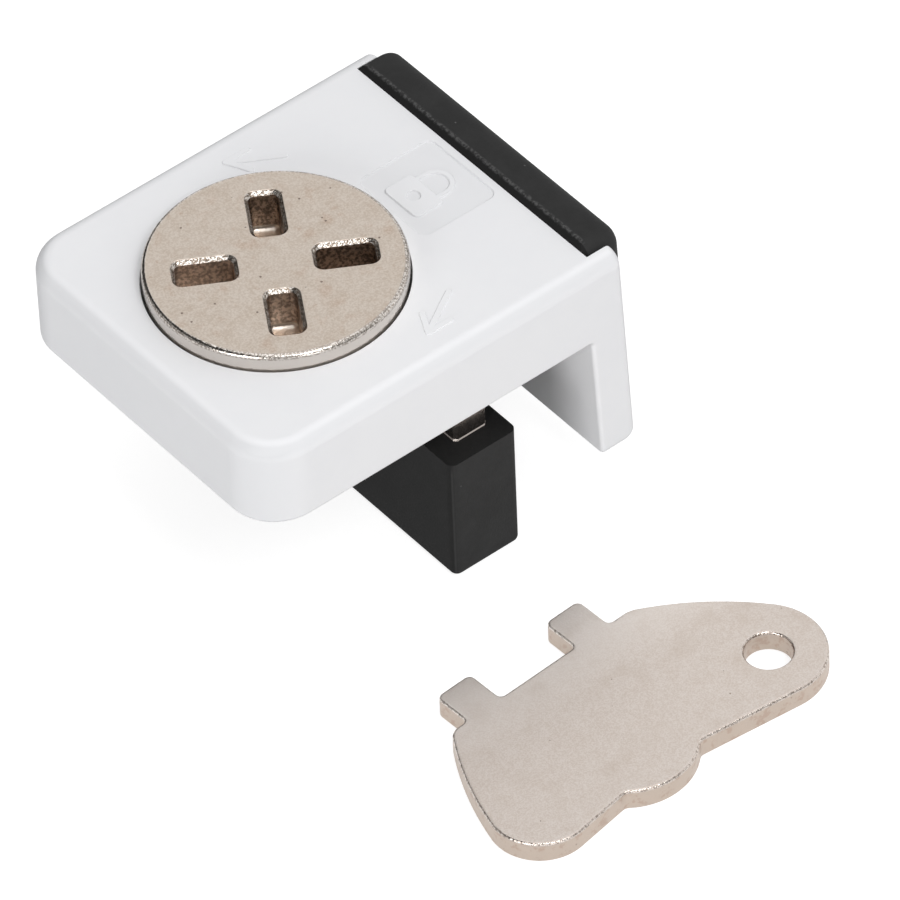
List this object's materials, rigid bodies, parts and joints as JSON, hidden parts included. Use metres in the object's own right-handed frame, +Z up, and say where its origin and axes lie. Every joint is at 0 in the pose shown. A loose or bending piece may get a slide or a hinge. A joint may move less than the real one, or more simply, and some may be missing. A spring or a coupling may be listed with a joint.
{
  "type": "sliding window lock",
  "caption": "Clamp-on sliding window lock: rectangular housing with hooked lip and black buffer strip, turning disc that drives a rubber-shod jaw, and a flat two-prong key.",
  "frame": {"origin": "turning disc's axis at the level of the housing plate's top face", "axes": "+Z up along the disc's axis, +X from the disc towards the hooked lip, +Y along the lip; the loose key lies beside the lock towards -Y"},
  "size_m": [0.0493, 0.0778, 0.0336],
  "materials": {
    "white_coat": "white powder coat on die-cast metal, satin",
    "white_plate": "white powder coat on sheet steel, satin",
    "black_strip": "matte black moulded elastomer, fine texture",
    "black_rubber": "matte black rubber",
    "plated_disc": "satin nickel plate on a sintered steel disc, polished rim",
    "plated_leg": "nickel-plated steel bar, satin",
    "plated_key": "grainy satin nickel plate on a sintered steel key",
    "nylon": "black nylon",
    "spring_steel": "dark oiled spring steel",
    "zinc_steel": "bright zinc-plated steel",
    "zinc_screws": "bright zinc-plated steel"
  },
  "bodies": {
    "body": {"housing": "white_coat", "buffer_strip": "black_strip", "thrust_washer": "nylon", "spring_washer": "spring_steel", "bottom_cover": "white_plate", "cover_screws": "zinc_screws"},
    "rotor": {"rotor_disc": "plated_disc", "retaining_ring": "spring_steel"},
    "jaw": {"slide_plate": "zinc_steel", "clamp_leg": "plated_leg", "leg_screws": "zinc_screws", "follower_pin": "zinc_steel", "follower_roller": "spring_steel", "rubber_shoe": "black_rubber"},
    "key_body": {"key": "plated_key"}
  },
  "joints": [
    {"name": "disc_turn", "type": "hinge", "parent": "body", "child": "rotor", "pos_m": [0, 0, 0], "axis": [0, 0, -1], "range_deg": [0, 300]},
    {"name": "jaw_slide", "type": "slide", "parent": "body", "child": "jaw", "axis": [1, 0, 0], "range_m": [0, 0.0075]},
    {"name": "key_lift", "type": "slide", "parent": "body", "child": "key_body", "axis": [0, 0, 1], "range_m": [0, 0.03]}
  ],
  "couplings": [
    {"joint": "disc_turn", "follows": "jaw_slide", "rad_per_m": 698.13}
  ]
}
